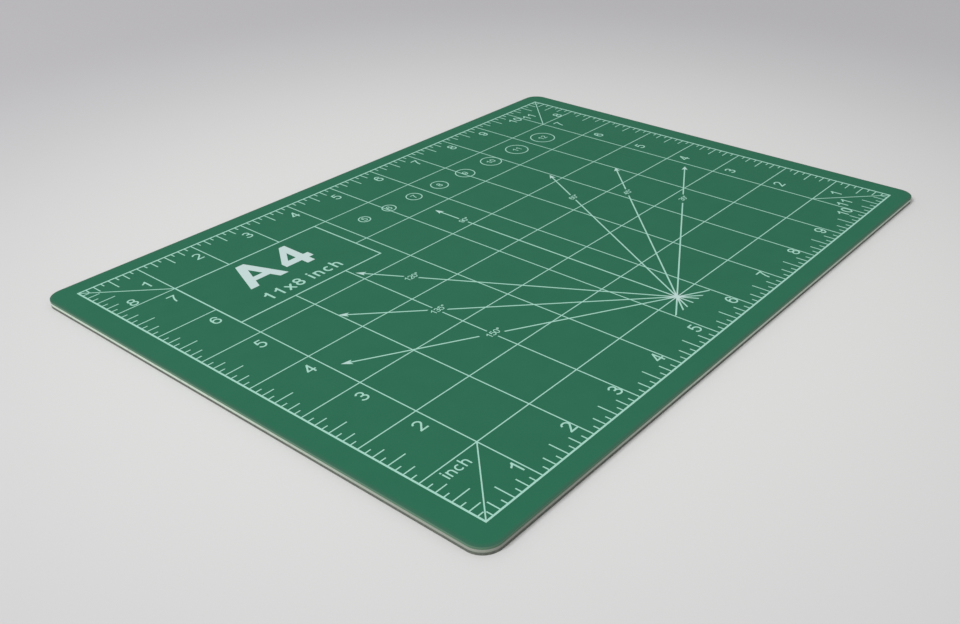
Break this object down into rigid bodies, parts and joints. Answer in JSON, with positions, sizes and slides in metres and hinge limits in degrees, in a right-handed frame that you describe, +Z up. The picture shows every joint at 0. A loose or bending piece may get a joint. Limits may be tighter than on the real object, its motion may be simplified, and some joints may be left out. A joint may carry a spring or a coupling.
{
  "type": "craft cutting mat",
  "caption": "Flexible laminated craft cutting mat with rounded corners and a printed inch grid, edge rulers, angle guide and circle gauges.",
  "frame": {"origin": "middle of the underside, on the surface that the mat lies on", "axes": "+X along the long side, the way its bottom ruler counts up; +Y along the short side, from the bottom ruler to the top one; +Z up out of the working face"},
  "size_m": [0.299, 0.2198, 0.003],
  "materials": {
    "base_grey": "matt dark grey flexible PVC",
    "core_cream": "cream flexible PVC, die cut",
    "skin_green": "fine grained matt green flexible PVC",
    "ink_pale": "matt pale screen ink"
  },
  "bodies": {
    "root": {"base_ply": "base_grey", "core_ply": "core_cream", "top_skin": "skin_green", "grid_print": "ink_pale", "ruler_print": "ink_pale", "angle_print": "ink_pale", "gauge_print": "ink_pale"}
  },
  "joints": []
}
